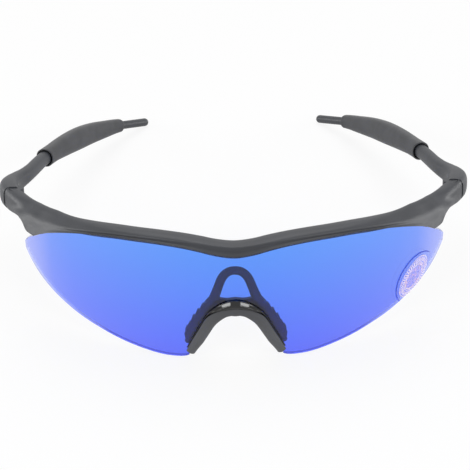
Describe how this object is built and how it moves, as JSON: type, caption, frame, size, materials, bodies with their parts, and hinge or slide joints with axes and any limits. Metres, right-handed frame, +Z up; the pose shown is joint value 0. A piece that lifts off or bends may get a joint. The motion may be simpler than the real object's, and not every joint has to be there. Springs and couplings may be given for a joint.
{
  "type": "golf ball finder glasses",
  "caption": "Half-frame sports glasses with one wrap-round blue shield lens, a soft nosepiece, and two folding arms with rubber socks and thin rod tips.",
  "frame": {"origin": "on the surface the glasses lie on, under the middle of their bounding box, on the plane between the two lens halves", "axes": "+X to the wearer's left, +Y from the lens back along the arms, +Z up; the glasses rest on the lens's lower edge and the two arm tips, which leans them back by 10.7 degrees from the way they are worn"},
  "size_m": [0.1416, 0.1412, 0.0421],
  "materials": {
    "frame_nylon": "fine matte, dark grey",
    "blue_lens": "polished, tinted through",
    "black_gloss": "polished black",
    "soft_rubber": "soft satin, dark grey",
    "clear_film": "clear film with a pale printed ring",
    "screw_steel": "plain steel"
  },
  "bodies": {
    "front": {"brow_frame": "frame_nylon", "lens": "blue_lens", "nose_bracket": "black_gloss", "nose_pad": "soft_rubber", "lens_label": "clear_film"},
    "left_arm": {"temple_left": "frame_nylon", "ear_sock_left": "soft_rubber", "hinge_screw_left": "screw_steel"},
    "right_arm": {"temple_right": "frame_nylon", "ear_sock_right": "soft_rubber", "hinge_screw_right": "screw_steel"}
  },
  "joints": [
    {"name": "left_fold", "type": "hinge", "parent": "front", "child": "left_arm", "pos_m": [0.0647, -0.02391, 0.02925], "axis": [0, 0.1862, 0.9825], "range_deg": [0, 86]},
    {"name": "right_fold", "type": "hinge", "parent": "front", "child": "right_arm", "pos_m": [-0.0647, -0.02391, 0.02925], "axis": [0, -0.1862, -0.9825], "range_deg": [0, 72]}
  ]
}
